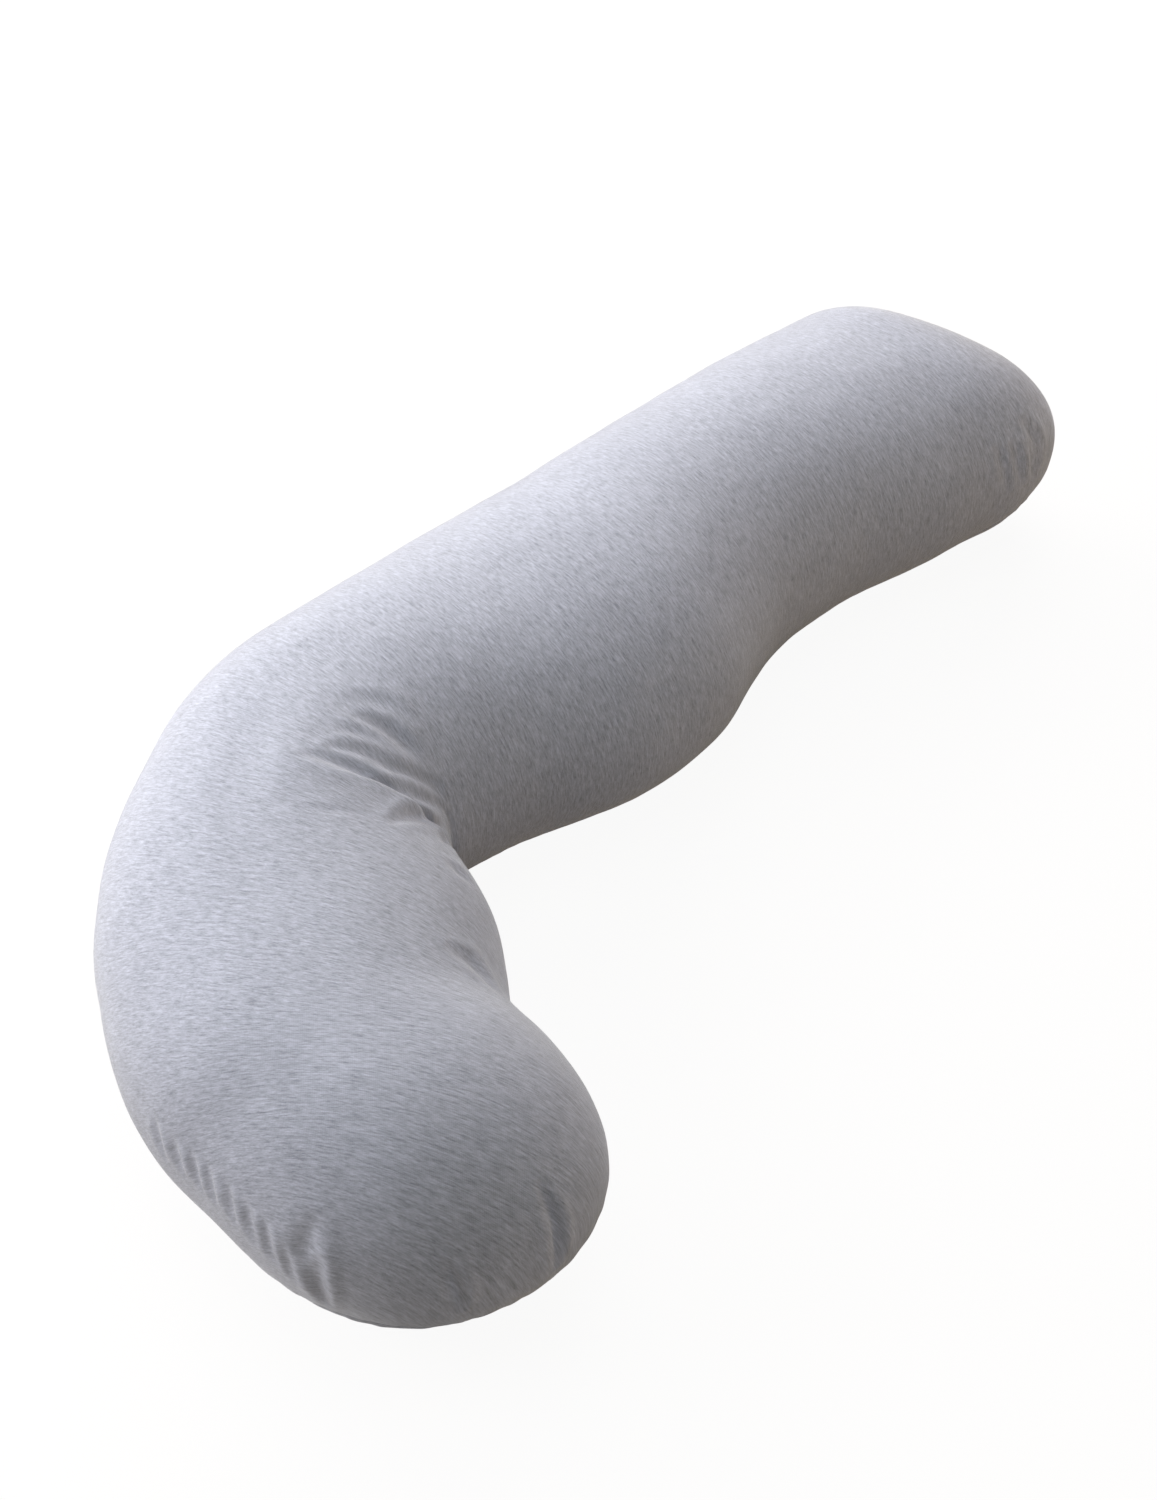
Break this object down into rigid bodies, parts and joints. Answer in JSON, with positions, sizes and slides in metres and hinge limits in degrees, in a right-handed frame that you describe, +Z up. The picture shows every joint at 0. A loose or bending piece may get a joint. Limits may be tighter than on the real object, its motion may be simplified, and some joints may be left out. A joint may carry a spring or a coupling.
{
  "type": "nursing pillow",
  "caption": "Long J-shaped nursing pillow: a fibre-filled tube with a tight elbow and a short arm, in a removable knit cover with a zip in its back seam.",
  "frame": {"origin": "middle of the pillow's bounding box, on the surface it lies on", "axes": "+X along the long arm towards its free end, +Y to the back with the zip, +Z up; the short arm runs towards -Y"},
  "size_m": [1.196, 0.644, 0.2432],
  "materials": {
    "knit_cover": "matte heather jersey knit",
    "casing_cloth": "plain woven, matte",
    "fibre_fill": "loose hollow fibre",
    "zip_tape": "woven polyester tape",
    "zip_coil": "nylon coil",
    "zip_metal": "satin enamelled zinc",
    "label_tape": "satin ribbon, blank"
  },
  "bodies": {
    "long_arm": {"cover_top_panel_long_arm": "knit_cover", "cover_bottom_panel_long_arm": "knit_cover", "inner_casing_top_long_arm": "casing_cloth", "inner_casing_bottom_long_arm": "casing_cloth", "fibre_fill_long_arm": "fibre_fill", "zip_tape_upper": "zip_tape", "zip_tape_lower": "zip_tape", "zip_coil_upper": "zip_coil", "zip_coil_lower": "zip_coil", "zip_bottom_stop": "zip_metal", "zip_top_stops": "zip_metal", "care_label": "label_tape"},
    "short_arm": {"cover_top_panel_short_arm": "knit_cover", "cover_bottom_panel_short_arm": "knit_cover", "inner_casing_top_short_arm": "casing_cloth", "inner_casing_bottom_short_arm": "casing_cloth", "fibre_fill_short_arm": "fibre_fill"},
    "zip_slider": {"zip_slider": "zip_metal"},
    "zip_pull_tab": {"zip_pull_tab": "zip_metal"}
  },
  "joints": [
    {"name": "elbow_flex", "type": "hinge", "parent": "long_arm", "child": "short_arm", "pos_m": [-0.213, -0.024, 0.11], "axis": [0, 0, 1], "range_deg": [-18, 30]},
    {"name": "zip_slide", "type": "slide", "parent": "long_arm", "child": "zip_slider", "axis": [1, 0, 0], "range_m": [0, 0.43]},
    {"name": "pull_tab_swing", "type": "hinge", "parent": "zip_slider", "child": "zip_pull_tab", "pos_m": [-0.181, 0.3196, 0.11], "axis": [0, 0, 1], "range_deg": [0, 175]}
  ]
}
